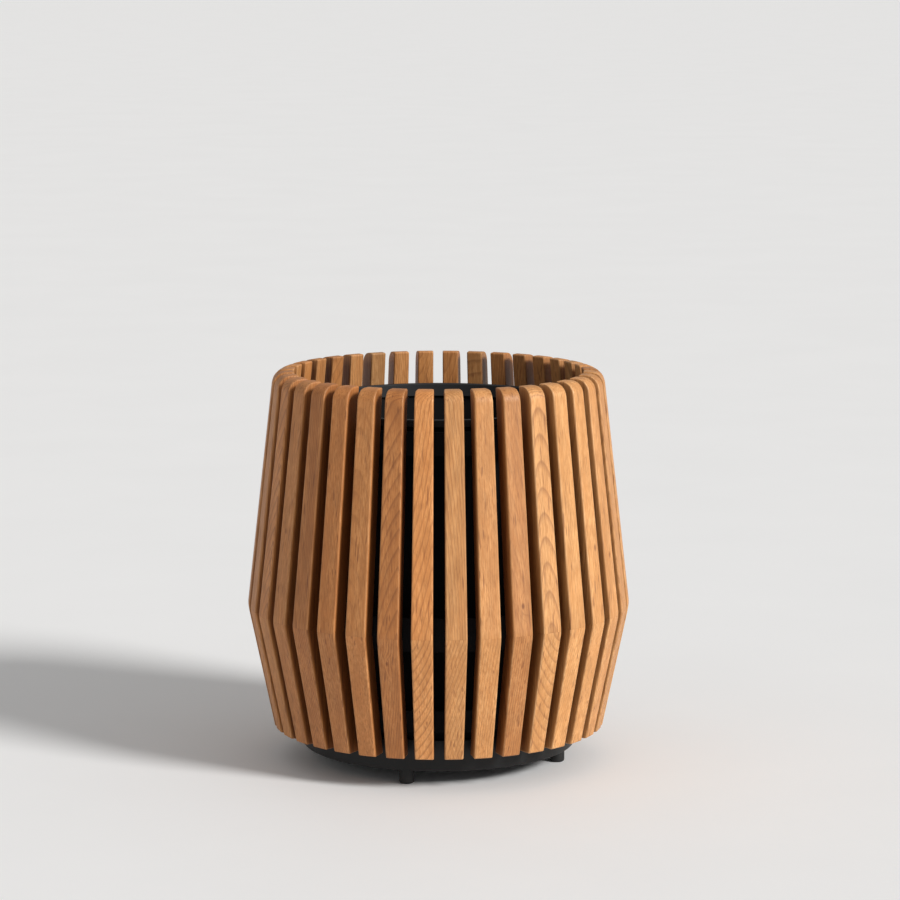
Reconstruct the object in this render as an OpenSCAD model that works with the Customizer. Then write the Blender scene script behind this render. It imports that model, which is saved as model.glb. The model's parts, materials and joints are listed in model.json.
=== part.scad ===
// Round slatted litter bin: a barrel of mitred teak slats screwed to a black steel frame,
// with a lift-out steel liner, a ring that holds the bag, and four levelling feet.
// Millimetres. The origin is at the bottom centre, on the ground; the front is -Y and +Z is up.

/* [Overall] */
// Diameter across the slats at their widest ring
bin_d = 509; // [430:1:620]
// Height from the ground to the top of the slats
bin_h = 522; // [430:1:640]
// Height of the widest ring, where the slats change slope
kink_h = 209; // [170:0.5:260]
// How far the slats lean in from the widest ring to the top
top_lean = 35.9; // [20:0.1:42]
// How far the slats lean in from the widest ring to the bottom
bottom_lean = 34.4; // [20:0.1:40]

/* [Slats] */
// Number of slats round the bin
slat_count = 36; // [28:2:38]
// Width of a slat at the widest ring
slat_w = 28; // [20:0.1:35]
// Depth of a slat, measured towards the axis
slat_d = 27; // [18:0.5:32]
// Height of the slats' lower ends above the ground
slat_base_h = 45; // [38:0.5:54]
// Rounding of the outer corner at the top of a slat
top_round = 18; // [4:0.5:20]
// Rounding of the other corners at the ends of a slat
end_round = 3; // [1:0.5:5]
// Glue line between the two lengths of a slat
glue_line = 0.2; // [0.1:0.05:0.5]

/* [Frame] */
// Height of the base ring's lower edge above the ground
ring_h = 21; // [19:0.5:28]
// Height of the base ring's wall
ring_wall_h = 41; // [34:1:50]
// Thickness of the base ring's wall
ring_t = 2.5; // [2:0.5:3]
// Distance of the base ring in from the slats' inner faces at their lower ends
ring_gap = 11; // [9:0.1:12]
// Thickness of the base plate
plate_t = 3; // [2:0.5:4]
// Height of the base plate above the lower edge of the base ring
plate_rise = 3; // [1:0.5:5]
// Thickness of the hoops
hoop_t = 4; // [3:0.5:5]
// Height of the lower and upper hoops
hoop_h = 30; // [24:1:36]
// Height of each leg of the middle hoop
leg_h = 22; // [18:1:26]
// Height of the lower hoop's middle above the slats' lower ends
lower_hoop_rise = 46; // [38:1:55]
// Depth of the upper hoop's middle below the slats' tops
upper_hoop_drop = 70; // [62:1:84]
// Width of a frame rib
rib_w = 22; // [16:1:23]
// Thickness of a frame rib
rib_t = 5; // [4:0.5:6]

/* [Screws] */
// Diameter of the slat screws
screw_d = 4; // [3.5:0.1:5]
// Diameter of the screws' heads
screw_head_d = 8; // [7:0.5:9]
// Height of the screws' heads
screw_head_h = 2.5; // [2:0.1:3]
// How far a screw goes into its slat
screw_bite = 16; // [10:0.5:17]
// Play round a screw in its hoop, on the radius
screw_play = 0.3; // [0.1:0.05:0.5]

/* [Liner] */
// Depth of the bag ring's top below the slats' tops
rim_drop = 42; // [32:1:46]
// Gap between the bag ring and the inner faces of the slats
rim_gap = 10; // [9.5:0.1:18]
// Sheet thickness of the liner
liner_t = 1.2; // [0.8:0.1:2]
// Radius of the bead on the liner's top edge
bead_r = 2.5; // [2:0.1:3]
// Height of the liner's floor above the levelling studs
floor_gap = 2.5; // [1:0.5:8]
// Play round the liner at its pads, on the radius
liner_play = 1; // [0.5:0.1:2]
// Sheet thickness of the bag ring
bag_ring_t = 1.5; // [1:0.1:2]
// Depth of the bag ring's inner lip
lip_h = 17; // [12:1:24]
// Depth of the bag ring's outer lip
skirt_h = 9; // [7:1:12]
// Play between the bag ring and the liner's bead
bag_ring_play = 0.6; // [0.4:0.1:1]

/* [Handles] */
// Wire diameter of the liner's handles
wire_d = 6; // [5:0.5:7]
// Width of a handle between the middles of its legs
grip_w = 80; // [70:1:100]
// Length of a handle from its pivot to the middle of its grip
grip_l = 40; // [32:1:48]
// Depth of the pivots below the top of the bag ring
pivot_drop = 56; // [50:1:70]
// Distance from the pivots to the liner's wall, at the middle of the handle
pivot_inset = 19; // [17:0.5:24]
// Thickness of the handle lugs
lug_t = 4; // [3:0.5:5]
// Running clearance round the pivots and the studs, on the radius
run_fit = 0.05; // [0.03:0.01:0.08]

/* [Feet] */
// Diameter of a foot
foot_d = 19.5; // [16:0.5:24]
// Distance of the feet in from the base ring's outer face
foot_inset = 18.5; // [16:0.5:28]
// Turn of the first foot from the front, towards -X
foot_turn = 15; // [8:0.1:20]
// Diameter of the levelling studs
stud_d = 8; // [6:1:10]
// Height of the levelling nuts
nut_h = 6.5; // [5:0.5:8]
// How far a foot screws out
foot_travel = 5; // [3:0.5:8]

/* [Base plate holes] */
// Pitch circle of the ground anchor holes
anchor_pcd = 220; // [180:1:250]
// Diameter of the ground anchor holes
anchor_d = 11; // [9:0.5:13]
// Pitch circle of the drain holes
drain_pcd = 120; // [90:1:150]
// Diameter of the drain holes
drain_d = 12; // [8:1:16]

/* [Hidden] */
$fn = 96;
// Clearance between pieces that bear on each other
seat = 0.1;
// Gap between pieces that only rest on each other
rest_gap = 0.3;
// Overrun of a cut past a face
over = 1;

pitch = 360 / slat_count;
kink_r = bin_d / 2;
lean_up = atan(top_lean / (bin_h - kink_h));
lean_down = atan(bottom_lean / (kink_h - slat_base_h));
slat_half_angle = atan(slat_w / 2 / kink_r);
top_in_r = kink_r - top_lean - slat_d;
base_in_r = kink_r - bottom_lean - slat_d;

// Radius of the slats' inner faces at height z
function inner_r(z) =
    kink_r - slat_d - (z > kink_h ? (z - kink_h) * tan(lean_up) : (kink_h - z) * tan(lean_down));
// Points of an arc about c, from angle a0 to a1 in n steps
function arc_points(c, r, a0, a1, n) =
    [for (i = [0:n]) c + r * [cos(a0 + (a1 - a0) * i / n), sin(a0 + (a1 - a0) * i / n)]];
// Name of slat k
function slat_name(k) = str("slat_", k < 10 ? "0" : "", k);

lower_hoop_z = slat_base_h + lower_hoop_rise;
upper_hoop_z = bin_h - upper_hoop_drop;
// Each screw row has its height and the angle that its screws dip below level
screw_rows = [
    [lower_hoop_z, lean_down],
    [kink_h - leg_h / 2, lean_down],
    [kink_h + leg_h / 2, -lean_up],
    [upper_hoop_z, -lean_up]
];

ring_out_r = base_in_r - ring_gap;
ring_in_r = ring_out_r - ring_t;
plate_z = ring_h + plate_rise;
plate_top = plate_z + plate_t;
ring_top = ring_h + ring_wall_h;

// The ribs stand behind the gaps nearest to 45 degrees either side of the front and the back
rib_angle = round(slat_count / 8) * pitch;
rib_angles = [rib_angle, 180 - rib_angle, 180 + rib_angle, 360 - rib_angle];
// A flat rib touches a round hoop at its edges, so its face lies in by this much
rib_sag = rib_w * rib_w / 8 / ring_out_r + seat;
rib_top = upper_hoop_z + hoop_h / 2;
rib_foot = lower_hoop_z - hoop_h / 2;
// Distance of a rib's outer face from the axis at height z
function rib_r(z) = inner_r(z) - seat - hoop_t - rib_sag;

foot_r = ring_out_r - foot_inset;
foot_angles = [for (i = [0:3]) 90 * i - foot_turn];
foot_top = plate_z - rest_gap;
stud_top = plate_top + nut_h + 1 + foot_travel;
nut_r = 0.9375 * stud_d;
anchor_angles = [for (i = [0:3]) 90 * i + 45 - foot_turn];
drain_count = 6;

bag_ring_r = min(top_in_r, base_in_r) - rim_gap;
bag_ring_top = bin_h - rim_drop;
// Middle of the liner's wall, under the bead that the bag ring sits over
wall_r = bag_ring_r - bag_ring_t - bag_ring_play - bead_r;
liner_out_r = wall_r + liner_t / 2;
liner_in_r = wall_r - liner_t / 2;
bead_z = bag_ring_top - bag_ring_t - rest_gap - bead_r;
pad_t = 3;
liner_bottom = plate_top + pad_t + rest_gap;
liner_floor = stud_top + floor_gap;
lip_r = wall_r - bead_r - bag_ring_play;

pivot_x = liner_in_r - pivot_inset;
pivot_z = bag_ring_top - pivot_drop;
lug_y = grip_w / 2 + wire_d / 2 + 1;

teak = [0.78, 0.56, 0.34];
black_steel = [0.13, 0.13, 0.14];
black_rubber = [0.07, 0.07, 0.07];
bright_steel = [0.72, 0.72, 0.74];

// Turns its children to an angle from the front, counted towards +X; their own front is +X
module facing(angle) {
    rotate([0, 0, angle - 90]) children();
}

// Cuts its children to the wedge between two planes through the axis
module slat_wedge() {
    reach = kink_r + over;
    side = reach * tan(slat_half_angle);
    intersection() {
        children();
        linear_extrude(bin_h + over) polygon([[0, 0], [reach, -side], [reach, side]]);
    }
}

// Stands an outline of radius and height up, with a width along Y
module standing(width) {
    rotate([90, 0, 0]) linear_extrude(width, center = true) children();
}

// Outline of the upper length of a slat
module upper_length() {
    foot = kink_h + glue_line / 2;
    outer_z = bin_h - top_round;
    outer_x = inner_r(outer_z) + slat_d - top_round / cos(lean_up);
    inner_z = bin_h - end_round;
    inner_x = inner_r(inner_z) + end_round / cos(lean_up);
    polygon(concat(
        [[inner_r(foot), foot], [inner_r(foot) + slat_d, foot]],
        arc_points([outer_x, outer_z], top_round, lean_up, 90, 8),
        arc_points([inner_x, inner_z], end_round, 90, 180 + lean_up, 3)
    ));
}

// Outline of the lower length of a slat
module lower_length() {
    head = kink_h - glue_line / 2;
    outer_z = slat_base_h + end_round;
    outer_x = inner_r(outer_z) + slat_d - end_round / cos(lean_down);
    polygon(concat(
        [[inner_r(head) + slat_d, head], [inner_r(head), head], [inner_r(slat_base_h), slat_base_h]],
        arc_points([outer_x, outer_z], end_round, -90, -lean_down, 3)
    ));
}

// One slat: two teak lengths that meet at the widest ring
module slat(k) {
    color(teak) facing((k - 0.5) * pitch) slat_wedge() {
        standing(2 * slat_w) union() {
            upper_length();
            lower_length();
        }
    }
}

// Steel skirt under the slats
module base_ring() {
    color(black_steel) translate([0, 0, ring_h]) difference() {
        cylinder(h = ring_wall_h, r = ring_out_r);
        translate([0, 0, -over]) cylinder(h = ring_wall_h + 2 * over, r = ring_in_r);
    }
}

// One hole through the base plate
module plate_hole(angle, r, d) {
    facing(angle) translate([r, 0, plate_z - over]) cylinder(h = plate_t + 2 * over, d = d);
}

// Plate that closes the skirt: it carries the liner, the feet and the ground anchors
module base_plate() {
    color(black_steel) difference() {
        translate([0, 0, plate_z]) cylinder(h = plate_t, r = ring_in_r - seat);
        for (a = foot_angles) plate_hole(a, foot_r, stud_d + 1);
        for (a = anchor_angles) plate_hole(a, anchor_pcd / 2, anchor_d);
        for (i = [1:drain_count]) plate_hole(i * 360 / drain_count, drain_pcd / 2, drain_d);
    }
}

// Places its children at every slat, on the slats' inner face at the height of one screw row
module at_screws(row) {
    for (k = [1:slat_count]) facing((k - 0.5) * pitch)
        translate([inner_r(row[0]), 0, row[0]]) rotate([0, row[1], 0]) children();
}

// Screw holes of one row, through the hoop that backs it
module screw_holes(row) {
    at_screws(row) rotate([0, 90, 0])
        cylinder(h = 4 * hoop_t, d = screw_d + 2 * screw_play, center = true);
}

// Band with the slats' slope between two heights, its outer face against the slats
module hoop_band(z0, z1) {
    rotate_extrude() polygon([
        [inner_r(z0) - seat - hoop_t, z0],
        [inner_r(z0) - seat, z0],
        [inner_r(z1) - seat, z1],
        [inner_r(z1) - seat - hoop_t, z1]
    ]);
}

module lower_hoop() {
    color(black_steel) difference() {
        hoop_band(lower_hoop_z - hoop_h / 2, lower_hoop_z + hoop_h / 2);
        screw_holes(screw_rows[0]);
    }
}

// Folded band behind the mitre, with one leg on each length of the slats
module middle_hoop() {
    color(black_steel) difference() {
        union() {
            hoop_band(kink_h - leg_h, kink_h);
            hoop_band(kink_h, kink_h + leg_h);
        }
        screw_holes(screw_rows[1]);
        screw_holes(screw_rows[2]);
    }
}

module upper_hoop() {
    color(black_steel) difference() {
        hoop_band(upper_hoop_z - hoop_h / 2, upper_hoop_z + hoop_h / 2);
        screw_holes(screw_rows[3]);
    }
}

// Four bent flat bars that stand on the base ring's outer face and join it to the hoops
module frame_ribs() {
    base_x = ring_out_r + seat + rib_t;
    outer = [
        [base_x, slat_base_h + 2],
        [base_x, ring_top],
        [rib_r(rib_foot), rib_foot],
        [rib_r(kink_h), kink_h],
        [rib_r(rib_top), rib_top]
    ];
    inner = [for (i = [len(outer) - 1:-1:0]) outer[i] - [rib_t, 0]];
    color(black_steel) for (a = rib_angles) facing(a) standing(rib_w) polygon(concat(outer, inner));
}

// Pan-head screws that hold the slats to the hoops
module slat_screws() {
    under_head = -(hoop_t + 2 * seat);
    color(bright_steel) for (row = screw_rows) at_screws(row) rotate([0, 90, 0]) {
        translate([0, 0, under_head]) cylinder(h = screw_bite - under_head, d = screw_d);
        translate([0, 0, under_head - screw_head_h]) cylinder(h = screw_head_h, d = screw_head_d);
    }
}

// Hexagon nuts welded on the base plate, in which the feet turn
module foot_nuts() {
    color(bright_steel) for (a = foot_angles) facing(a) translate([foot_r, 0, plate_top]) difference() {
        cylinder(h = nut_h, r = nut_r, $fn = 6);
        translate([0, 0, -over]) cylinder(h = nut_h + 2 * over, r = stud_d / 2 + run_fit);
    }
}

// Rubber blocks on the ribs that keep the liner upright
module guide_pads() {
    z0 = upper_hoop_z - hoop_h / 2;
    z1 = upper_hoop_z + hoop_h / 2;
    near = liner_out_r + liner_play;
    color(black_rubber) for (a = rib_angles) facing(a) standing(rib_w - 2) polygon([
        [near, z0],
        [rib_r(z0) - rib_t, z0],
        [rib_r(z1) - rib_t, z1],
        [near, z1]
    ]);
}

// Rubber steps on the base plate that the liner's lower edge stands on, each with a lip inside the edge
module seat_pads() {
    lip_out = liner_in_r - liner_play;
    pad_angle = 10;
    color(black_rubber) for (a = rib_angles) facing(a - pad_angle / 2)
        rotate_extrude(angle = pad_angle) polygon([
            [lip_out - 5, plate_top],
            [liner_out_r + 1, plate_top],
            [liner_out_r + 1, plate_top + pad_t],
            [lip_out, plate_top + pad_t],
            [lip_out, plate_top + 10],
            [lip_out - 5, plate_top + 10]
        ]);
}

// Wall of the liner
module liner_shell() {
    color(black_steel) translate([0, 0, liner_bottom]) difference() {
        cylinder(h = bead_z - liner_bottom, r = liner_out_r);
        translate([0, 0, -over]) cylinder(h = bead_z - liner_bottom + 2 * over, r = liner_in_r);
    }
}

// Floor of the liner, with its drain holes
module liner_base() {
    color(black_steel) difference() {
        translate([0, 0, liner_floor]) cylinder(h = liner_t, r = liner_in_r - seat / 2);
        for (i = [1:drain_count]) facing(i * 360 / drain_count)
            translate([drain_pcd / 2, 0, liner_floor - over]) cylinder(h = liner_t + 2 * over, d = drain_d / 2);
    }
}

// Slit round bead over the liner's top edge
module liner_bead() {
    slit = liner_t / 2 + seat / 2;
    color(black_steel) rotate_extrude() translate([wall_r, bead_z]) difference() {
        circle(r = bead_r);
        translate([-slit, -2 * bead_r]) square([2 * slit, 2 * bead_r + seat / 2]);
    }
}

// Lugs welded inside the liner that carry the handles' pivots
module handle_lugs() {
    color(black_steel) for (side = [-1, 1]) for (end = [-1, 1]) difference() {
        intersection() {
            translate([side > 0 ? pivot_x - wire_d : -liner_in_r, end > 0 ? lug_y : -lug_y - lug_t, pivot_z - wire_d])
                cube([liner_in_r - pivot_x + wire_d, lug_t, 2 * wire_d]);
            cylinder(h = bin_h, r = liner_in_r - seat / 2);
        }
        translate([side * pivot_x, end * (lug_y + lug_t / 2), pivot_z]) rotate([90, 0, 0])
            cylinder(h = 2 * lug_t, r = wire_d / 2 + run_fit, center = true);
    }
}

// Bent wire handle hanging from its pivots
module drop_handle(x) {
    half = grip_w / 2;
    pivot_end = lug_y + lug_t + 2;
    r = wire_d / 2;
    color(bright_steel) translate([x, 0, pivot_z]) union() {
        for (end = [-1, 1]) {
            translate([0, end * half, 0]) rotate([-90 * end, 0, 0]) cylinder(h = pivot_end - half, r = r);
            translate([0, end * half, 0]) sphere(r = r);
            translate([0, end * half, -grip_l]) cylinder(h = grip_l, r = r);
            translate([0, end * half, -grip_l]) sphere(r = r);
        }
        translate([0, -half, -grip_l]) rotate([-90, 0, 0]) cylinder(h = grip_w, r = r);
    }
}

module handle_left() {
    drop_handle(-pivot_x);
}

module handle_right() {
    drop_handle(pivot_x);
}

// Ring that clamps the bag over the liner's bead
module bag_ring() {
    color(black_steel) rotate_extrude() polygon([
        [lip_r - bag_ring_t, bag_ring_top],
        [lip_r - bag_ring_t, bag_ring_top - lip_h],
        [lip_r, bag_ring_top - lip_h],
        [lip_r, bag_ring_top - bag_ring_t],
        [bag_ring_r - bag_ring_t, bag_ring_top - bag_ring_t],
        [bag_ring_r - bag_ring_t, bag_ring_top - skirt_h],
        [bag_ring_r, bag_ring_top - skirt_h],
        [bag_ring_r, bag_ring_top]
    ]);
}

// Rubber foot moulded on its levelling stud
module foot(i) {
    edge = 3;
    color(black_rubber) facing(foot_angles[i - 1]) translate([foot_r, 0, 0]) {
        rotate_extrude() union() {
            translate([0, edge]) square([foot_d / 2, foot_top - edge]);
            square([foot_d / 2 - edge, edge]);
            intersection() {
                translate([foot_d / 2 - edge, edge]) circle(r = edge);
                square([foot_d / 2, foot_top]);
            }
        }
        translate([0, 0, foot_top - over]) cylinder(h = stud_top - foot_top + over, d = stud_d);
    }
}

for (k = [1:slat_count]) slat(k);
base_ring();
base_plate();
lower_hoop();
middle_hoop();
upper_hoop();
frame_ribs();
slat_screws();
foot_nuts();
guide_pads();
seat_pads();
liner_shell();
liner_base();
liner_bead();
handle_lugs();
handle_left();
handle_right();
bag_ring();
for (i = [1:4]) foot(i);
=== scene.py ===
import json
import math
import bpy
import numpy as np
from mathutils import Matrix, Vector


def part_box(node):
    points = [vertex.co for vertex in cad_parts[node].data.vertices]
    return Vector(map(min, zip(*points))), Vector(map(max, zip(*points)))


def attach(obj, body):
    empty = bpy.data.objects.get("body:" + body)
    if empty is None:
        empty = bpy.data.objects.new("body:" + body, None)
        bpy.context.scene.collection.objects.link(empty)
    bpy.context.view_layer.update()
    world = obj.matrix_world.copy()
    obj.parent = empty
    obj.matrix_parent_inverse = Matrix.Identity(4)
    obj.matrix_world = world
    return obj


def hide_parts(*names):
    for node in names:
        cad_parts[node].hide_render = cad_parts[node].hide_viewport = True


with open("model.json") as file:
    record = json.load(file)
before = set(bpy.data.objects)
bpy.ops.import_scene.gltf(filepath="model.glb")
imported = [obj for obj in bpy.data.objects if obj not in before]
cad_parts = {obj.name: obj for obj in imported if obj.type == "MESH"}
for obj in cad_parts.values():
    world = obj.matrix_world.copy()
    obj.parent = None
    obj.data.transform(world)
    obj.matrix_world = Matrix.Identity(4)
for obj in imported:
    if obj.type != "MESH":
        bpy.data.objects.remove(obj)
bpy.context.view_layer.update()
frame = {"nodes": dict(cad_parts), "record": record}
nodes = frame["nodes"]
print("frame loaded:", len(nodes), "nodes")

view = {
    "distance": 4.4876,     # from the bin's axis, level
    "height": 1.1042,       # above the ground
    "aside": 0.0153,        # to the right of the axis
    "turn": -0.38,          # degrees round the bin
    "dip": 8.744,           # degrees below level
    "lens": 136.59,
    "sensor": 36.0,
    "farthest": 500.0,
}
light = {
    "toSun": (0.71, -0.494, 0.50),
    "sun": 3.15,
    "softness": 15.0,       # degrees across
    "sunColor": (1.0, 0.98, 0.95),
    "sky": 0.42,
    "skyColor": (1.0, 0.985, 0.965, 1.0),
}


# Wraps one socket, so that sums and products of wires add Math nodes
class Wire:
    def __init__(self, tree, socket=None):
        self.tree = tree
        self.socket = socket

    # Any node: its settings first, then the values or links of its sockets
    def make(self, kind, settings=None, inputs=None, output=0):
        node = self.tree.nodes.new(kind)
        for key, value in (settings or {}).items():
            if key == "stops":
                self.setStops(node.color_ramp, value)
            else:
                setattr(node, key, value)
        for key, value in (inputs or {}).items():
            if isinstance(value, Wire):
                self.tree.links.new(value.socket, node.inputs[key])
            else:
                node.inputs[key].default_value = value
        return Wire(self.tree, node.outputs[output])

    def setStops(self, ramp, stops):
        while len(ramp.elements) < len(stops):
            ramp.elements.new(0.5)
        for element, (place, shade) in zip(ramp.elements, stops):
            element.position = place
            element.color = (shade, shade, shade, 1.0)

    def calc(self, operation, a, b=0.0):
        return self.make("ShaderNodeMath", {"operation": operation}, {0: a, 1: b})

    def __add__(self, other):
        return self.calc("ADD", self, other)

    def __radd__(self, other):
        return self.calc("ADD", other, self)

    def __sub__(self, other):
        return self.calc("SUBTRACT", self, other)

    def __rsub__(self, other):
        return self.calc("SUBTRACT", other, self)

    def __mul__(self, other):
        return self.calc("MULTIPLY", self, other)

    def __rmul__(self, other):
        return self.calc("MULTIPLY", other, self)

    # 0 below low, 1 above high, smooth in between
    def between(self, low, high):
        return self.make("ShaderNodeMapRange", {"interpolation_type": "SMOOTHSTEP"},
                         {"Value": self, "From Min": low, "From Max": high})

    # Noise on a vector that is scaled by its own factor along each axis
    def noise(self, vector, stretch, detail, roughness=0.55):
        scaled = self.make("ShaderNodeVectorMath", {"operation": "MULTIPLY"}, {0: vector, 1: stretch})
        return self.make("ShaderNodeTexNoise", {}, {
            "Vector": scaled, "Scale": 1.0, "Detail": detail, "Roughness": roughness})

    def length(self, vector):
        return self.make("ShaderNodeVectorMath", {"operation": "LENGTH"}, {0: vector}, "Value")

    def split(self, vector):
        parts = self.make("ShaderNodeSeparateXYZ", {}, {0: vector}).socket.node
        return [Wire(self.tree, socket) for socket in parts.outputs]

    def attribute(self, name):
        return self.make("ShaderNodeAttribute", {"attribute_name": name}, output="Vector")

    def blend(self, factor, a, b, how="MIX"):
        return self.make("ShaderNodeMix", {"data_type": "RGBA", "blend_type": how},
                         {0: factor, 6: a, 7: b}, 2)

    def bump(self, height, strength, depth):
        return self.make("ShaderNodeBump", {}, {"Strength": strength, "Distance": depth, "Height": height},
                         "Normal")


def newMaterial(name):
    material = bpy.data.materials.new(name)
    material.use_nodes = True
    tree = material.node_tree
    return material, tree.nodes["Principled BSDF"], Wire(tree)


def plug(shader, wire, key):
    wire.tree.links.new(wire.socket, shader.inputs[key])


def rgba(r, g, b):
    return (r, g, b, 1.0)


teakLook = {
    "pale": rgba(0.70, 0.370, 0.146),
    "honey": rgba(0.50, 0.226, 0.070),
    "brown": rgba(0.21, 0.074, 0.022),
    "redShift": rgba(0.97, 0.76, 0.58),
    "paintedGapShade": rgba(0.42, 0.34, 0.24),      # painted shade on the sides, deep between the slats
    "arrisWearAndHighlight": rgba(1.00, 1.13, 1.36),         # tint of the arrises: sanded wear and a painted edge highlight
    "ringsPerMetre": 330.0,
    "ringWobble": 3.4,
    "ringProfile": [(0.0, 0.0), (0.6, 0.08), (0.9, 1.0), (1.0, 0.0)],    # from early to late wood
    "knotPull": 1.6,        # rings that a knot pushes aside
    "knotReach": 3.2,       # in knot radii
    "rings": 0.6,           # strengths
    "bands": 0.7,
    "pores": 0.34,
    "streaks": 0.6,
    "knots": 0.85,
    "mottle": 0.16,
    "rough": 0.46,
    "specular": 0.5,
    "bumpDepth": 0.0006,
    # noise repeats per metre: across, across and along the log
    "wobbleGrain": (13.0, 13.0, 2.4),
    "fibreGrain": (620.0, 620.0, 9.0),
    "bandGrain": (75.0, 75.0, 1.6),
    "poreGrain": (1500.0, 1500.0, 60.0),
    "streakGrain": (330.0, 330.0, 4.0),
    "mottleGrain": (90.0, 90.0, 30.0),
}


# Rings are the fraction of (distance from the log's heart x rate + wobble). Fibres are noise drawn
# out along the log, and pores are its short dark peaks.
def teakMaterial(look):
    material, shader, w = newMaterial("teak")
    grain = w.attribute("grain")
    lightness, redness, figure = w.split(w.attribute("board"))
    gapShade, edge, _ = w.split(w.attribute("cover"))

    knotDistance = w.length(w.attribute("knot"))
    knotPull = 1.0 - knotDistance.between(0.3, look["knotReach"])
    knotCore = 1.0 - knotDistance.between(0.25, 0.75)

    flat = w.make("ShaderNodeVectorMath", {"operation": "MULTIPLY"}, {0: grain, 1: (1.0, 1.0, 0.0)})
    wobble = w.noise(grain, look["wobbleGrain"], 1.0)
    phase = w.length(flat) * look["ringsPerMetre"] + wobble * look["ringWobble"] + knotPull * look["knotPull"]
    ring = w.make("ShaderNodeValToRGB", {"stops": look["ringProfile"]}, {0: w.calc("FRACT", phase)})
    ring = w.make("ShaderNodeRGBToBW", {}, {0: ring})

    fibre = w.noise(grain, look["fibreGrain"], 4.0, 0.6)
    band = w.noise(grain, look["bandGrain"], 2.0)
    pores = w.noise(grain, look["poreGrain"], 1.0).between(0.60, 0.74)
    streak = w.noise(grain, look["streakGrain"], 1.0, 0.4).between(0.64, 0.74)
    mottle = w.noise(grain, look["mottleGrain"], 3.0, 0.6)

    color = w.blend(fibre.between(0.34, 0.68), look["pale"], look["honey"])
    color = w.blend(band.between(0.32, 0.68) * look["bands"], color, look["honey"])
    color = w.blend(ring * figure * look["rings"], color, look["brown"])
    color = w.blend(pores * look["pores"], color, look["brown"])
    color = w.blend(streak * look["streaks"], color, look["brown"])
    color = w.blend(knotCore * look["knots"], color, look["brown"])
    color = w.blend(redness, color, w.blend(1.0, color, look["redShift"], "MULTIPLY"))
    tone = lightness * (1.0 - look["mottle"] / 2 + mottle.between(0.3, 0.7) * look["mottle"])
    shade = w.make("ShaderNodeCombineColor", {}, {0: tone, 1: tone, 2: tone})
    color = w.blend(1.0, color, shade, "MULTIPLY")
    # Arrises paled in patches: sanded wear and a painted edge highlight
    arrisWearAndHighlight = edge * mottle.between(0.25, 0.6)
    color = w.blend(arrisWearAndHighlight, color, w.blend(1.0, color, look["arrisWearAndHighlight"], "MULTIPLY"))
    # Painted shade: the slats' sides darken deep between the slats
    color = w.blend(gapShade, color, w.blend(1.0, color, look["paintedGapShade"], "MULTIPLY"))
    plug(shader, color, "Base Color")
    plug(shader, look["rough"] + fibre * 0.16 + pores * 0.1, "Roughness")
    relief = fibre * 0.5 + (1.0 - pores) * 0.35 + ring * 0.15
    plug(shader, w.bump(relief, 0.35, look["bumpDepth"]), "Normal")
    shader.inputs["Specular IOR Level"].default_value = look["specular"]
    return material


# Peel is the repeats of the coat's fine bumps per metre
# The coat's black is darkened as painted shade, standing for the base ring lying in the bin's shadow
coatLook = {
    "color": rgba(0.0045, 0.0048, 0.0052), "dusty": rgba(0.014, 0.014, 0.014),
    "rough": 0.40, "specular": 0.3, "peel": 650.0, "depth": 0.0004,
}
# Painted shade: the coat's black darkened and dulled for the liner and the other black steel parts inside the
# bin
paintedShadeLook = {
    "color": rgba(0.006, 0.006, 0.007), "dusty": rgba(0.014, 0.013, 0.012),
    "rough": 0.68, "specular": 0.12, "peel": 650.0, "depth": 0.0003,
}
# Painted light: a lighter copy of the black coat, standing for the sunlit rim of the bag ring
paintedLitLook = {
    "color": rgba(0.020, 0.021, 0.023), "dusty": rgba(0.034, 0.034, 0.035),
    "rough": 0.60, "specular": 0.3, "peel": 650.0, "depth": 0.0003,
}
# The rubber's black is darkened as painted shade, standing for the feet in the bin's shadow
rubberLook = {
    "color": rgba(0.006, 0.006, 0.006), "dusty": rgba(0.020, 0.019, 0.018),
    "rough": 0.62, "specular": 0.5, "peel": 1200.0, "depth": 0.0003,
}
steelLook = {
    "color": rgba(0.58, 0.58, 0.59), "dull": rgba(0.40, 0.40, 0.42), "rough": 0.32, "depth": 0.0002,
    "scratchGrain": (1800.0, 1800.0, 60.0), "toneGrain": (40.0, 40.0, 40.0),
}
dustGrain = (22.0, 22.0, 22.0)
speckGrain = (900.0, 900.0, 900.0)


# Orange peel is fine round noise; dust is a broad noise that lightens and dulls
def coatMaterial(name, look):
    material, shader, w = newMaterial(name)
    place = w.make("ShaderNodeTexCoord", output="Object")
    peel = w.noise(place, (look["peel"], look["peel"], look["peel"]), 2.0)
    dust = w.noise(place, dustGrain, 4.0, 0.65).between(0.45, 0.85)
    speck = w.noise(place, speckGrain, 0.0).between(0.66, 0.72)
    plug(shader, w.blend(dust * 0.35 + speck * 0.25, look["color"], look["dusty"]), "Base Color")
    plug(shader, look["rough"] + dust * 0.14 + peel * 0.06, "Roughness")
    plug(shader, w.bump(peel, 0.3, look["depth"]), "Normal")
    shader.inputs["Specular IOR Level"].default_value = look["specular"]
    return material


# Drawn steel: long scratches along Z, and a slight change of tone
def steelMaterial(name, look):
    material, shader, w = newMaterial(name)
    place = w.make("ShaderNodeTexCoord", output="Object")
    scratch = w.noise(place, look["scratchGrain"], 3.0)
    tone = w.noise(place, look["toneGrain"], 3.0)
    plug(shader, w.blend(tone * 0.4, look["color"], look["dull"]), "Base Color")
    plug(shader, look["rough"] + scratch * 0.18, "Roughness")
    plug(shader, w.bump(scratch, 0.2, look["depth"]), "Normal")
    shader.inputs["Metallic"].default_value = 1.0
    return material


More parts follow.
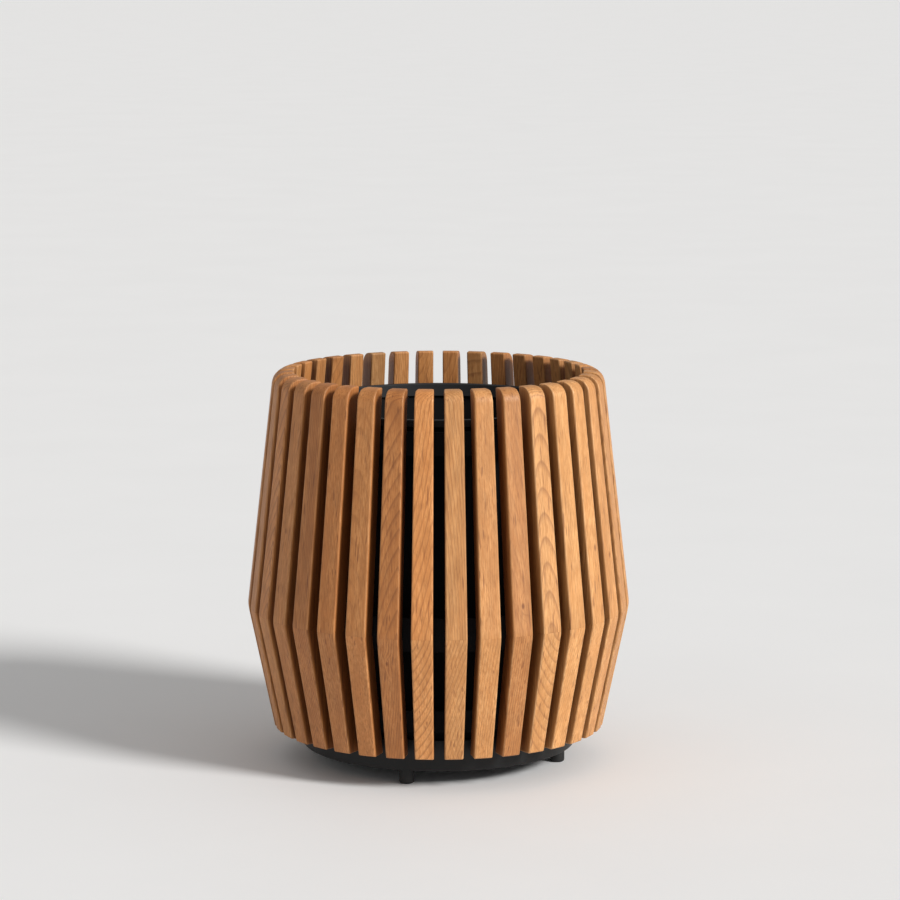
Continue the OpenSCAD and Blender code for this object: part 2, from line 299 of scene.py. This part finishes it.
teak = teakMaterial(teakLook)
blackCoat = coatMaterial("blackPowderCoat", coatLook)
paintedShadeCoat = coatMaterial("blackCoatPaintedShade", paintedShadeLook)
paintedLitCoat = coatMaterial("blackCoatPaintedLight", paintedLitLook)
blackRubber = coatMaterial("blackRubber", rubberLook)
plainSteel = steelMaterial("plainSteel", steelLook)
print("materials made")


def makePiece(name, points, faces, material, body, replaced, slot, attributes=None):
    mesh = bpy.data.meshes.new(name)
    mesh.from_pydata(points.tolist(), [], faces)
    mesh.update()
    mesh.polygons.foreach_set("use_smooth", np.ones(len(mesh.polygons), bool))
    for key, values in (attributes or {}).items():
        layer = mesh.attributes.new(key, "FLOAT_VECTOR", "POINT")
        layer.data.foreach_set("vector", values.astype(np.float32).ravel())
    mesh.materials.append(material)
    piece = bpy.data.objects.new(name, mesh)
    bpy.context.scene.collection.objects.link(piece)
    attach(piece, body)
    for node in replaced:
        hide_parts(node)


# Quads of a grid of rows x columns, with the columns, and if asked the rows, closed into a loop
def gridFaces(rows, columns, start=0, loopRows=False):
    i = np.arange(rows if loopRows else rows - 1)[:, None]
    j = np.arange(columns)[None, :]
    nextI = (i + 1) % rows
    nextJ = (j + 1) % columns
    quads = np.stack([i * columns + j, i * columns + nextJ, nextI * columns + nextJ, nextI * columns + j], -1)
    return (quads.reshape(-1, 4) + start).tolist()


# The two flat ends of such a grid, one face each, turned outwards
def endFaces(rows, columns, start=0):
    last = start + (rows - 1) * columns
    return [list(range(start + columns - 1, start - 1, -1)), list(range(last, last + columns))]


# Corners of an outline replaced by arcs: each arc leaves its two edges at radius / tan(half the
# corner's angle) from the corner, and its points lie at equal angles on its circle
def roundedOutline(corners, radii, steps=5):
    corners = np.asarray(corners, float)
    before = np.roll(corners, 1, 0)
    after = np.roll(corners, -1, 0)
    toBefore = (before - corners) / np.linalg.norm(before - corners, axis=1)[:, None]
    toAfter = (after - corners) / np.linalg.norm(after - corners, axis=1)[:, None]
    half = np.arccos(np.clip((toBefore * toAfter).sum(1), -1, 1)) / 2
    radii = np.asarray(radii, float)
    bisector = toBefore + toAfter
    bisector /= np.linalg.norm(bisector, axis=1)[:, None]
    centre = corners + bisector * (radii / np.sin(half))[:, None]
    start = corners + toBefore * (radii / np.tan(half))[:, None] - centre
    end = corners + toAfter * (radii / np.tan(half))[:, None] - centre
    firstAngle = np.arctan2(start[:, 1], start[:, 0])
    sweep = (np.arctan2(end[:, 1], end[:, 0]) - firstAngle + np.pi) % (2 * np.pi) - np.pi
    angle = firstAngle[:, None] + sweep[:, None] * np.linspace(0, 1, steps + 1)
    arcs = centre[:, None, :] + radii[:, None, None] * np.stack([np.cos(angle), np.sin(angle)], -1)
    return arcs.reshape(-1, 2)


# A point near both ends of every long edge, so that smooth shading stays in the rounded corners
def holdEdges(outline, reach=0.0008):
    after = np.roll(outline, -1, 0)
    step = after - outline
    length = np.linalg.norm(step, axis=1)
    share = np.minimum(reach / np.maximum(length, 1e-9), 0.5)[:, None]
    triple = np.stack([outline, outline + step * share, after - step * share], 1)
    long = length > 3 * reach
    return triple[np.stack([np.ones(len(outline), bool), long, long], 1)]


# An outline of (radius, height) turned round a vertical axis: (x + r cos a, y + r sin a, h)
def turnedPoints(outline, segments, centre=(0.0, 0.0)):
    a = np.linspace(0, 2 * np.pi, segments, endpoint=False)[None, :]
    r = outline[:, 0][:, None]
    z = outline[:, 1][:, None]
    points = np.stack([centre[0] + r * np.cos(a), centre[1] + r * np.sin(a), z + 0 * a], -1)
    return points.reshape(-1, 3)


# A closed outline, which gives a ring
def turnedRing(outline, segments):
    return turnedPoints(outline, segments), gridFaces(len(outline), segments, loopRows=True)


# An open outline from axis to axis, closed at its two poles with fans
def turnedSolid(outline, segments, centre):
    points = turnedPoints(outline, segments, centre)
    poles = np.array([[*centre, outline[0, 1]], [*centre, outline[-1, 1]]])
    lowPole = len(points)
    j = np.arange(segments)
    following = (j + 1) % segments
    top = (len(outline) - 1) * segments
    fans = np.stack([np.full(segments, lowPole), following, j], -1).tolist()
    fans += np.stack([np.full(segments, lowPole + 1), top + j, top + following], -1).tolist()
    return np.vstack([points, poles]), gridFaces(len(outline), segments) + fans


def boxOf(node):
    low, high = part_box(node)
    return np.array(low), np.array(high)


slatShape = {
    "count": 36,
    "depth": 0.027,         # towards the axis
    "width": 0.028,         # at the widest ring
    "topLean": 0.0359,      # from the widest ring to the top
    "bottomLean": 0.0344,   # from the widest ring to the bottom
    "topRound": 0.018,      # outer corner at the top
    "bottomRound": 0.003,
    "arris": 0.0020,        # easing of the long edges
    "mitreEase": 0.00012,
    "kinkSoft": 0.007,      # sanded over this height each side of the mitre
    "glueLine": 0.00006,
    # Painted shade between the slats: full at this depth in from the outer face, fading out over the next
    # height below the top
    "gapShadeDepth": 0.004,
    "gapShadeTop": 0.02,
    "arcSteps": 5,
    "sideShares": (0.04, 0.18, 0.5, 0.96),      # points along each flat side of the section
}
woodMix = {
    "seed": 41,
    "lightness": (0.80, 1.14),
    "redness": (0.0, 0.75),
    "lengthTone": (0.93, 1.04),     # each length of a slat varies the slat's own values
    "lengthRed": (0.85, 1.25),
    "figure": (0.25, 1.0),
    "heart": (0.035, 0.16),         # distance of the log's heart from the board
    "logLength": 40,
    "tilt": 1.4,                    # degrees between board and log
    "knotShare": 0.22,
    "knotRadius": (0.003, 0.006),
    "knotStretch": (0.15, 1.0, 0.55),       # a knot is long into the board and up it
    "noKnot": 9.0,                  # puts an unwanted knot out of reach
    # slats with a chosen lightness and redness
    "chosen": {29: (0.94, 0.6), 30: (0.90, 0.75), 31: (0.88, 0.85), 32: (0.83, 1.0), 33: (0.90, 0.95),
               34: (0.95, 0.8), 35: (0.83, 1.0), 36: (1.13, 0.6), 1: (0.98, 0.25), 2: (1.0, 0.3),
               3: (0.84, 0.55), 4: (1.04, 0.05), 5: (1.14, 0.0), 6: (1.10, 0.05), 7: (1.08, 0.15),
               8: (1.04, 0.2), 9: (1.08, 0.1)},
}
slatLow, slatHigh = boxOf("slat_10")
hoopLow, hoopHigh = boxOf("middle_hoop")
slatCorners = np.array([vertex.co for vertex in nodes["slat_10"].data.vertices])
kinkRadius = math.sqrt(np.square(slatCorners[:, :2]).sum(1).max() - (slatShape["width"] / 2) ** 2)
kinkHeight = (hoopLow[2] + hoopHigh[2]) / 2
baseHeight = slatLow[2]
topHeight = slatHigh[2]
halfAngle = math.atan(slatShape["width"] / 2 / kinkRadius)
leanUp = math.atan(slatShape["topLean"] / (topHeight - kinkHeight))
leanDown = math.atan(slatShape["bottomLean"] / (kinkHeight - baseHeight))


# Distance of the outer face from the axis: the widest radius less the lean times the height. If
# sanded, the corner at the mitre is a parabola that meets both slopes.
def outerAt(z, sanded=False):
    d = np.asarray(z, float) - kinkHeight
    up = math.tan(leanUp)
    down = math.tan(leanDown)
    lean = np.where(d > 0, d * up, -d * down)
    if sanded:
        soft = slatShape["kinkSoft"]
        curve = soft * (up + down) / 4 + d * (up - down) / 2 + d * d * (up + down) / (4 * soft)
        lean = np.where(np.abs(d) < soft, curve, lean)
    return kinkRadius - lean


# An end at the mitre, eased by a quarter circle: height, outer distance and how far the section
# has shrunk. Side is 1 at a lower end and -1 at an upper one.
def mitreEnd(z, side):
    fine = slatShape["mitreEase"]
    quarter = np.radians(np.linspace(0, 90, 6))
    heights = z + side * fine * (1 - np.cos(quarter))
    return heights, outerAt(heights, True), fine * (1 - np.sin(quarter))


# A free end, whose outer corner is an arc of the given radius and whose other edges shrink on a
# quarter circle. Side is 1 at the top and -1 at the bottom.
def roundEnd(z, side, radius, lean):
    ease = slatShape["arris"]
    arcHeight = z - side * radius
    arcDistance = float(outerAt(arcHeight)) - radius / math.cos(lean)
    t = np.linspace(math.pi / 2, lean, 15)
    heights = arcHeight + side * radius * np.sin(t)
    gap = np.minimum(np.abs(z - heights), ease)
    shrink = ease - np.sqrt(np.maximum(ease ** 2 - (ease - gap) ** 2, 0))
    return heights, arcDistance + radius * np.cos(t), shrink


# Stations along one length, from the low end to the high end
def stations(low, high):
    soft = kinkHeight + slatShape["kinkSoft"] * np.linspace(-1.2, 1.2, 13)
    middle = np.concatenate([np.linspace(low[0][-1] + 0.001, high[0][-1] - 0.001, 9), soft])
    middle = np.unique(middle[(middle > low[0][-1] + 0.0006) & (middle < high[0][-1] - 0.0006)])
    z = np.concatenate([low[0], middle, high[0][::-1]])
    x = np.concatenate([low[1], outerAt(middle, True), high[1][::-1]])
    shrink = np.concatenate([low[2], 0 * middle, high[2][::-1]])
    return z, x, shrink


# Section loops of one length: a wedge between two planes through the axis, its four corners
# rounded by quarter circles, and more points along each side
def slatLoops(z, x, shrink):
    ease = slatShape["arris"]
    steps = np.radians(np.linspace(0, 90, slatShape["arcSteps"]))
    inner = outerAt(z) - slatShape["depth"]
    turn = math.tan(halfAngle)
    radius = np.maximum(ease - shrink, 0.03 * ease)[:, None]
    centres = [
        (x - ease, x * turn - ease, 0), (inner + ease, inner * turn - ease, 90),
        (inner + ease, -inner * turn + ease, 180), (x - ease, -x * turn + ease, 270)]
    arcs = [np.stack([cx[:, None] + radius * np.cos(steps + math.radians(a)),
                      cy[:, None] + radius * np.sin(steps + math.radians(a))], -1) for cx, cy, a in centres]
    share = np.array(slatShape["sideShares"])[None, :, None]
    loops = []
    for arc, following in zip(arcs, arcs[1:] + arcs[:1]):
        loops += [arc, arc[:, -1:, :] * (1 - share) + following[:, :1, :] * share]
    section = np.concatenate(loops, 1)
    return np.concatenate([section, np.broadcast_to(z[:, None, None], section.shape[:2] + (1,))], -1)


# First value: painted shade between the slats, by how deep a point lies between two slats, 0 on the outer,
# inner and end faces, rising to 1 on the sides over the shade depth from the outer face. Second: where the
# arrises are paled, by sanded wear and a
# painted edge highlight: sin(2a) at angle a of each corner's quarter circle, 0 on the flat faces.
def shadeAndEdgeOf(cloud, rows):
    depth = outerAt(cloud[:, 2]) - cloud[:, 0]
    side = np.abs(cloud[:, 1]) / (cloud[:, 0] * math.tan(halfAngle))
    rise = np.clip((depth - slatShape["arris"]) / slatShape["gapShadeDepth"], 0, 1)
    onSide = np.clip((side - 0.92) / 0.05, 0, 1)
    gapShade = rise * onSide * np.clip((topHeight - cloud[:, 2]) / slatShape["gapShadeTop"], 0, 1)
    corner = np.sin(2 * np.radians(np.linspace(0, 90, slatShape["arcSteps"])))
    edge = np.tile(np.concatenate([corner, np.zeros(len(slatShape["sideShares"]))]), 4 * rows)
    return np.stack([gapShade, edge, 0 * edge], -1)


# The log's own axes for one length: the board turned about its length, tilted and moved off the heart
def logPlace(points, rng):
    turn = rng.uniform(0, 2 * math.pi)
    tiltX, tiltY = np.radians(rng.normal(0, woodMix["tilt"], 2))
    c = math.cos(turn)
    s = math.sin(turn)
    board = np.array([[c, -s, 0], [s, c, 0], [0, 0, 1]])
    log = board @ np.array([[1, 0, tiltX], [0, 1, tiltY], [-tiltX, -tiltY, 1]])
    away = np.array([rng.uniform(*woodMix["heart"]), 0, rng.uniform(0, woodMix["logLength"])])
    return (points - points.mean(0)) @ log.T + away


# Places measured from a knot's middle, in knot radii
def knotPlace(points, low, high, rng):
    size = rng.uniform(*woodMix["knotRadius"])
    centre = np.array([kinkRadius, rng.uniform(-0.008, 0.008), rng.uniform(low + 0.02, high - 0.03)])
    if rng.uniform() > woodMix["knotShare"]:
        centre = centre + np.array([0, woodMix["noKnot"], 0])
    return (points - centre) * np.array(woodMix["knotStretch"]) / size


# Two lengths that meet at the mitre, made facing +X and turned to the slat's own angle
def slatPiece(k, rng):
    glue = slatShape["glueLine"] / 2
    lowEnds = [roundEnd(baseHeight, -1, slatShape["bottomRound"], leanDown), mitreEnd(kinkHeight + glue, 1)]
    highEnds = [mitreEnd(kinkHeight - glue, -1), roundEnd(topHeight, 1, slatShape["topRound"], leanUp)]
    reaches = [(baseHeight, kinkHeight - glue), (kinkHeight + glue, topHeight)]
    clouds, faces, grain, board, knot, cover = [], [], [], [], [], []
    start = 0
    tone = rng.uniform(*woodMix["lightness"])
    red = rng.uniform(*woodMix["redness"])
    tone, red = woodMix["chosen"].get(k, (tone, red))
    for low, high, reach in zip(lowEnds, highEnds, reaches):
        loops = slatLoops(*stations(low, high))
        rows, columns = loops.shape[:2]
        cloud = loops.reshape(-1, 3)
        clouds.append(cloud)
        faces += gridFaces(rows, columns, start) + endFaces(rows, columns, start)
        grain.append(logPlace(cloud, rng))
        cover.append(shadeAndEdgeOf(cloud, rows))
        looks = [tone * rng.uniform(*woodMix["lengthTone"]), red * rng.uniform(*woodMix["lengthRed"]),
                 rng.uniform(*woodMix["figure"])]
        board.append(np.tile(looks, (len(cloud), 1)))
        knot.append(knotPlace(cloud, *reach, rng))
        start += len(cloud)
    angle = (k - 0.5) * 2 * math.pi / slatShape["count"] - math.pi / 2
    c = math.cos(angle)
    s = math.sin(angle)
    points = np.vstack(clouds) @ np.array([[c, s, 0], [-s, c, 0], [0, 0, 1]])
    makePiece(f"slat{k:02d}", points, faces, teak, "bin", [f"slat_{k:02d}"], "teak",
              {"grain": np.vstack(grain), "board": np.vstack(board), "knot": np.vstack(knot),
               "cover": np.vstack(cover)})


woodRandom = np.random.default_rng(woodMix["seed"])
for k in range(1, slatShape["count"] + 1):
    slatPiece(k, woodRandom)
print("slats made")

turnSegments = 240
baseRingShape = {"wall": 0.0025, "edge": 0.0009}
linerShape = {"wall": 0.0012, "edge": 0.0005}
bagRingShape = {
    "sheet": 0.0015,
    "lip": 0.0077,          # the inner lip, in from the outer face
    "skirt": 0.009,         # height of the outer fold
    "fold": 0.0012,         # outer radius of the two top bends
    "edge": 0.0005,
}


# A plain upright wall: a thin rectangle with rounded corners, turned round the axis
def wallPiece(name, node, shape, body, coat):
    low, high = boxOf(node)
    outer = high[0]
    inner = outer - shape["wall"]
    corners = [(inner, low[2]), (outer, low[2]), (outer, high[2]), (inner, high[2])]
    outline = holdEdges(roundedOutline(corners, [shape["edge"]] * 4))
    makePiece(name, *turnedRing(outline, turnSegments), coat, body, [node], "black_steel")


# An outer fold and a deeper inner lip hang from a flat top
def bagRing(shape):
    low, high = boxOf("bag_ring")
    sheet = shape["sheet"]
    outer = high[0]
    inner = outer - shape["lip"]
    top = high[2]
    hem = top - shape["skirt"]
    corners = [(inner - sheet, top), (inner - sheet, low[2]), (inner, low[2]), (inner, top - sheet),
               (outer - sheet, top - sheet), (outer - sheet, hem), (outer, hem), (outer, top)]
    radii = [shape["fold"]] + [shape["edge"]] * 6 + [shape["fold"]]
    outline = holdEdges(roundedOutline(corners, radii))
    makePiece("bagRing", *turnedRing(outline, turnSegments), paintedLitCoat, "bag_ring", ["bag_ring"], "black_steel")


wallPiece("baseRing", "base_ring", baseRingShape, "bin", blackCoat)
wallPiece("linerShell", "liner_shell", linerShape, "liner", paintedShadeCoat)
bagRing(bagRingShape)

footShape = {
    "padRound": 0.0032,     # lower edge of the rubber
    "topRound": 0.001,
    "stud": 0.004,          # radius
    "studBevel": 0.0005,
    "plateGap": 0.0003,
    "pole": 0.0004,         # radius of the fans at the axis
    "padSegments": 64,
    "studSegments": 32,
}


# The pad's outline is a flat, a quarter circle, a straight side and a smaller quarter circle
def footPieces(i, shape):
    low, high = boxOf(f"foot_{i}")
    centre = ((low[0] + high[0]) / 2, (low[1] + high[1]) / 2)
    radius = (high[0] - low[0]) / 2
    padTop = boxOf("base_plate")[0][2] - shape["plateGap"]
    bottom = shape["padRound"]
    top = shape["topRound"]
    lowArc = np.radians(np.linspace(-90, 0, 9))
    highArc = np.radians(np.linspace(0, 90, 5))
    pad = np.concatenate([
        [[shape["pole"], low[2]]],
        np.stack([radius - bottom + bottom * np.cos(lowArc), low[2] + bottom + bottom * np.sin(lowArc)], -1),
        np.stack([radius - top + top * np.cos(highArc), padTop - top + top * np.sin(highArc)], -1),
        [[shape["pole"], padTop]]])
    makePiece(f"foot{i}Pad", *turnedSolid(pad, shape["padSegments"], centre), blackRubber,
              f"foot_{i}", [f"foot_{i}"], "black_rubber")
    stud = shape["stud"]
    bevel = shape["studBevel"]
    rod = np.array([[shape["pole"], padTop], [stud, padTop], [stud, high[2] - bevel],
                    [stud - bevel, high[2]], [shape["pole"], high[2]]])
    makePiece(f"foot{i}Stud", *turnedSolid(rod, shape["studSegments"], centre), plainSteel,
              f"foot_{i}", [], "stainless")


for i in range(1, 5):
    footPieces(i, footShape)
print("rings, liner and feet made")

handleShape = {
    "wire": 0.003,          # radius
    "halfWidth": 0.04,
    "pivotBend": 0.0034,
    "gripBend": 0.011,
    "tip": 0.0006,          # chamfer of the wire's ends
    "around": 24,
    "bendSteps": 8,
}


# A path of straight runs and four round bends in a plane across X, carried by a circle: each ring
# is the path's point + radius x (cos a along X + sin a along the path's normal)
def wireHandle(name, node, shape):
    low, high = boxOf(node)
    r, half, tip = shape["wire"], shape["halfWidth"], shape["tip"]
    x, end, top, bottom = (low[0] + high[0]) / 2, high[1], high[2] - r, low[2] + r
    away = top + 0.1        # closes the outline well above the wire
    corners = [(-end, top), (-half, top), (-half, bottom), (half, bottom), (half, top), (end, top),
               (end, away), (-end, away)]
    sharp = 1e-4
    bends = [sharp, shape["pivotBend"], shape["gripBend"], shape["gripBend"], shape["pivotBend"]] + [sharp] * 3
    arcs = roundedOutline(corners, bends, shape["bendSteps"]).reshape(len(corners), -1, 2)[1:5].reshape(-1, 2)
    path = np.vstack([[(-end, top), (-end + tip, top)], arcs, [(end - tip, top), (end, top)]])
    along = np.gradient(path, axis=0)
    along /= np.linalg.norm(along, axis=1)[:, None]
    radius = np.full(len(path), r)
    radius[[0, -1]] = r - tip
    a = np.linspace(0, 2 * np.pi, shape["around"], endpoint=False)[None, :]
    side = radius[:, None] * np.sin(a)
    points = np.stack([x + radius[:, None] * np.cos(a), path[:, :1] + side * along[:, 1:],
                       path[:, 1:] - side * along[:, :1]], -1).reshape(-1, 3)
    faces = gridFaces(len(path), shape["around"]) + endFaces(len(path), shape["around"])
    makePiece(name, points, faces, plainSteel, node, [node], "stainless")


wireHandle("handleLeft", "handle_left", handleShape)
wireHandle("handleRight", "handle_right", handleShape)
print("handles made")

# CAD nodes that keep their shape get a finish by their slot, or by name
# Black steel parts take the painted-shade copy of the coat
finishes = {"black_steel": paintedShadeCoat, "black_rubber": blackRubber, "stainless": plainSteel, "teak": teak}
# The liner's base and bead and the handle lugs take the painted lit copy of the coat, lighter than the parts
# around them
lighterNodes = {"liner_base": paintedLitCoat, "liner_bead": paintedLitCoat, "handle_lugs": paintedLitCoat}
for row in frame["record"]["subparts"]:
    mesh = nodes[row["node"]].data
    mesh.materials.clear()
    mesh.materials.append(lighterNodes.get(row["node"], finishes[row["material_slot"]]))

floorLook = {
    "dark": rgba(0.86, 0.87, 0.885), "pale": rgba(0.90, 0.91, 0.925),
    "grain": (3.0, 3.0, 3.0), "rough": 0.7, "reach": 200.0,
}


def floorMaterial(look):
    material, shader, w = newMaterial("paleFloor")
    place = w.make("ShaderNodeTexCoord", output="Object")
    plug(shader, w.blend(w.noise(place, look["grain"], 4.0), look["dark"], look["pale"]), "Base Color")
    shader.inputs["Roughness"].default_value = look["rough"]
    return material


floorMesh = bpy.data.meshes.new("floor")
reach = floorLook["reach"]
floorMesh.from_pydata([(-reach, -reach, 0), (reach, -reach, 0), (reach, reach, 0), (-reach, reach, 0)], [],
                      [(0, 1, 2, 3)])
floorMesh.materials.append(floorMaterial(floorLook))
floor = bpy.data.objects.new("floor", floorMesh)
bpy.context.scene.collection.objects.link(floor)

sunData = bpy.data.lights.new("sun", "SUN")
sunData.energy = light["sun"]
sunData.angle = math.radians(light["softness"])
sunData.color = light["sunColor"]
sun = bpy.data.objects.new("sun", sunData)
sun.rotation_euler = Vector(light["toSun"]).to_track_quat("Z", "Y").to_euler()
bpy.context.scene.collection.objects.link(sun)

world = bpy.data.worlds.new("studio")
bpy.context.scene.world = world
world.use_nodes = True
sky = world.node_tree.nodes["Background"]
sky.inputs["Color"].default_value = light["skyColor"]
sky.inputs["Strength"].default_value = light["sky"]

cameraData = bpy.data.cameras.new("camera")
cameraData.lens = view["lens"]
cameraData.sensor_width = view["sensor"]
cameraData.clip_end = view["farthest"]
camera = bpy.data.objects.new("camera", cameraData)
turn = math.radians(view["turn"])
camera.location = (view["aside"] * math.cos(turn) + view["distance"] * math.sin(turn),
                   view["aside"] * math.sin(turn) - view["distance"] * math.cos(turn), view["height"])
camera.rotation_euler = (math.radians(90 - view["dip"]), 0, turn)
bpy.context.scene.collection.objects.link(camera)
bpy.context.scene.camera = camera
bpy.context.scene.view_settings.view_transform = "Standard"
print("floor, light and camera set")
